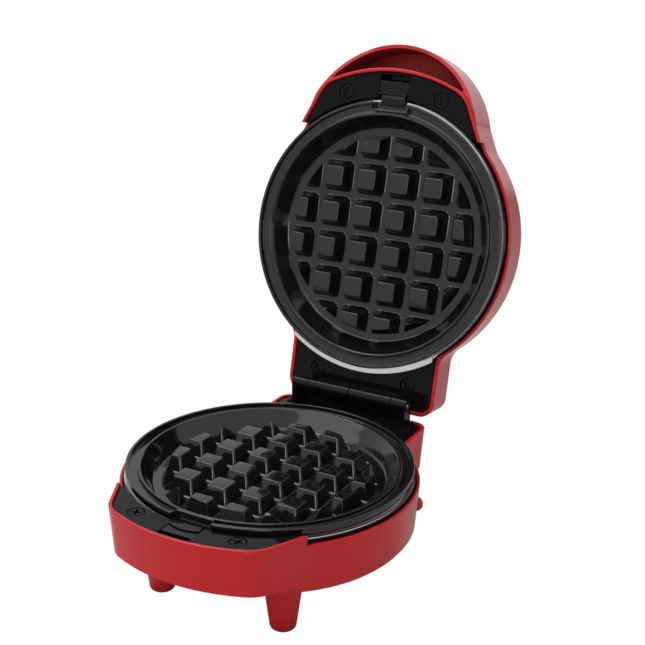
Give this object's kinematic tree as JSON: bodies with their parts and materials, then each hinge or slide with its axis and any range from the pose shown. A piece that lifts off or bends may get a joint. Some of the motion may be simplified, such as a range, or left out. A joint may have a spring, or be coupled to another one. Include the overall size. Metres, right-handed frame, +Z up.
{
  "type": "mini waffle maker",
  "caption": "Small round countertop waffle maker on legs, its hinged lid open, with square-pegged non-stick plates, covers, release clips and a crescent handle.",
  "frame": {"origin": "on the worktop, under the middle of the whole part with its lid open", "axes": "+Z up, +Y from the front lobe to the hinge, +X to the right as seen from the front; the lid's hinge turns about X"},
  "size_m": [0.1224, 0.2068, 0.2006],
  "materials": {
    "shell_red": "glossy red moulded plastic",
    "cover_charcoal": "fine matt charcoal plastic",
    "pan_bright": "bright pressed sheet",
    "plate_nonstick": "cast, black satin non-stick coating",
    "latch_black": "smooth black plastic",
    "spring_steel": "bright spring wire",
    "element_steel": "dull steel tube",
    "pan_screw_steel": "zinc-plated",
    "screw_black": "black-coated steel",
    "pin_steel": "bright steel",
    "pad_rubber": "matt black",
    "lead_white": "white insulation",
    "thermostat_metal": "plain metal disc",
    "fuse_white": "white sleeve",
    "block_white": "white moulded plastic",
    "gland_black": "black moulded bush",
    "lens_red": "clear red moulded lens",
    "lamp_glass": "small neon lamp"
  },
  "bodies": {
    "base": {"base_shell": "shell_red", "base_cover": "cover_charcoal", "base_reflector": "pan_bright", "lower_plate": "plate_nonstick", "base_latch_spring": "spring_steel", "lower_element": "element_steel", "thermostat": "thermostat_metal", "thermal_fuse": "fuse_white", "terminal_block": "block_white", "cord_gland": "gland_black", "base_screw_front_left": "screw_black", "base_screw_front_right": "screw_black", "base_screw_rear_left": "screw_black", "base_screw_rear_right": "screw_black", "hinge_pin_left": "pin_steel", "hinge_pin_right": "pin_steel", "foot_pad_front_left": "pad_rubber", "foot_pad_front_right": "pad_rubber", "foot_pad_rear_left": "pad_rubber", "foot_pad_rear_right": "pad_rubber", "base_pan_screw_left": "pan_screw_steel", "base_pan_screw_right": "pan_screw_steel", "element_lead_left": "lead_white", "element_lead_right": "lead_white"},
    "lid": {"lid_shell": "shell_red", "lid_cover": "cover_charcoal", "lid_reflector": "pan_bright", "upper_plate": "plate_nonstick", "lid_latch_spring": "spring_steel", "upper_element": "element_steel", "indicator_lens": "lens_red", "indicator_lamp": "lamp_glass", "lid_screw_front_left": "screw_black", "lid_screw_front_right": "screw_black", "lid_screw_rear_left": "screw_black", "lid_screw_rear_right": "screw_black", "lid_pan_screw_left": "pan_screw_steel", "lid_pan_screw_right": "pan_screw_steel", "lid_lead_left": "lead_white", "lid_lead_right": "lead_white"},
    "base_latch": {"base_latch": "latch_black"},
    "lid_latch": {"lid_latch": "latch_black"}
  },
  "joints": [
    {"name": "lid_hinge", "type": "hinge", "parent": "base", "child": "lid", "pos_m": [0, 0.04049, 0.0525], "axis": [1, 0, 0], "range_deg": [0, 105.7]},
    {"name": "base_latch_slide", "type": "slide", "parent": "base", "child": "base_latch", "axis": [0, -1, 0], "range_m": [0, 0.0026], "stiffness_N_per_m": 400, "springref_m": -0.004, "deforming": ["base_latch_spring"]},
    {"name": "lid_latch_slide", "type": "slide", "parent": "lid", "child": "lid_latch", "axis": [0, 0.225, 0.9744], "range_m": [0, 0.0026], "stiffness_N_per_m": 400, "springref_m": -0.004, "deforming": ["lid_latch_spring"]}
  ]
}
